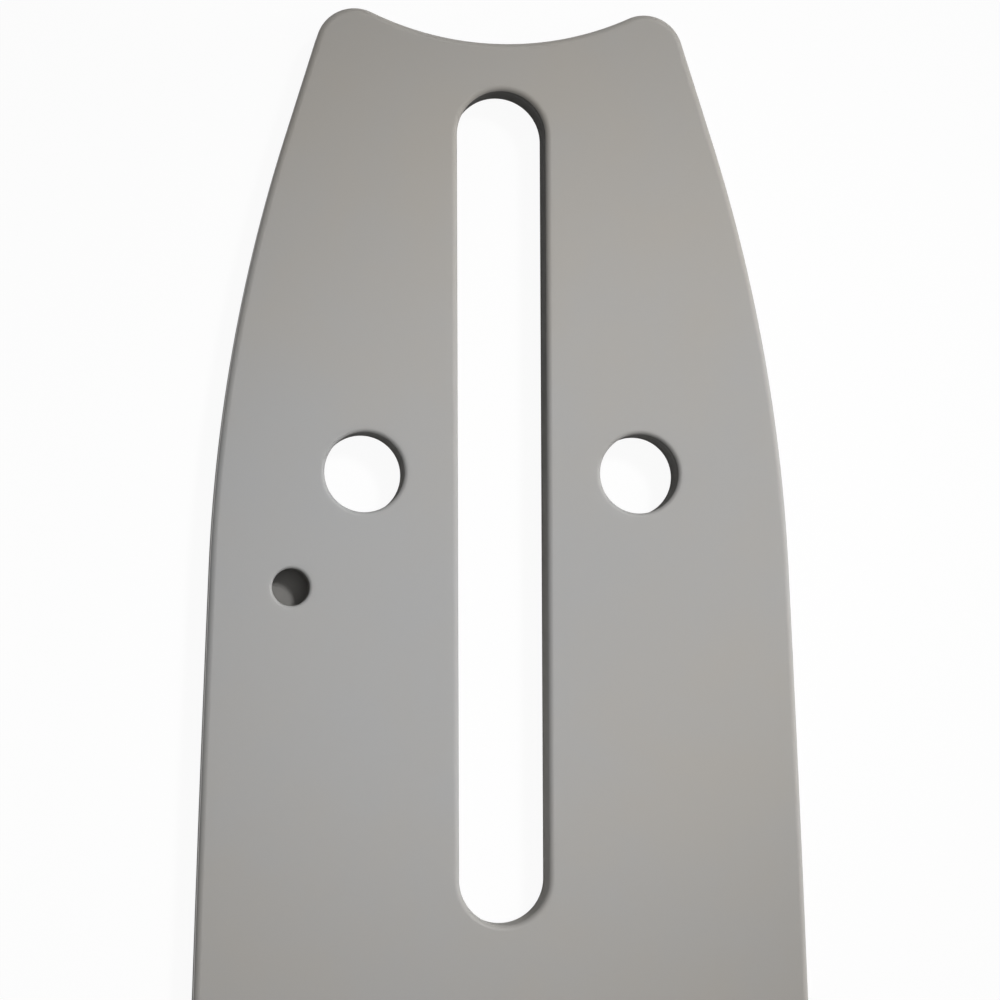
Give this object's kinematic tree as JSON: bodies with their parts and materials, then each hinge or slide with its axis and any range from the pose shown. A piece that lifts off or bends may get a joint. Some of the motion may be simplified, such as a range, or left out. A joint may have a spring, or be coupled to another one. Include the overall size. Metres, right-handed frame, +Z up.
{
  "type": "chainsaw guide bar",
  "caption": "Flat steel guide bar for a chainsaw: slotted mounting tail with adjuster and oil holes, chain groove round its edge, and a chain sprocket in the rounded nose.",
  "frame": {"origin": "middle of the stud slot, on the bar's lower face", "axes": "+Y along the bar towards its tail, -Y towards its nose, +Z up through its thickness out of the face that the picture shows"},
  "size_m": [0.0604, 0.465, 0.0044],
  "materials": {
    "plate_coat": "satin warm grey",
    "core_steel": "dull, oiled",
    "sprocket_steel": "hardened, stamped",
    "bearing_steel": "ground",
    "rivet_steel": "ground flush"
  },
  "bodies": {
    "bar": {"side_plate_front": "plate_coat", "side_plate_back": "plate_coat", "core_plate": "core_steel", "bearing_race": "bearing_steel", "nose_rivets": "rivet_steel"},
    "sprocket": {"nose_sprocket": "sprocket_steel"},
    "rollers": {"bearing_rollers": "bearing_steel"}
  },
  "joints": [
    {"name": "sprocket_spin", "type": "hinge", "parent": "bar", "child": "sprocket", "pos_m": [0, -0.392, 0.0022], "axis": [0, 0, 1], "continuous": true},
    {"name": "roller_orbit", "type": "hinge", "parent": "bar", "child": "rollers", "pos_m": [0, -0.392, 0.0022], "axis": [0, 0, 1], "continuous": true}
  ],
  "couplings": [
    {"joint": "roller_orbit", "follows": "sprocket_spin", "ratio": 0.6105}
  ]
}
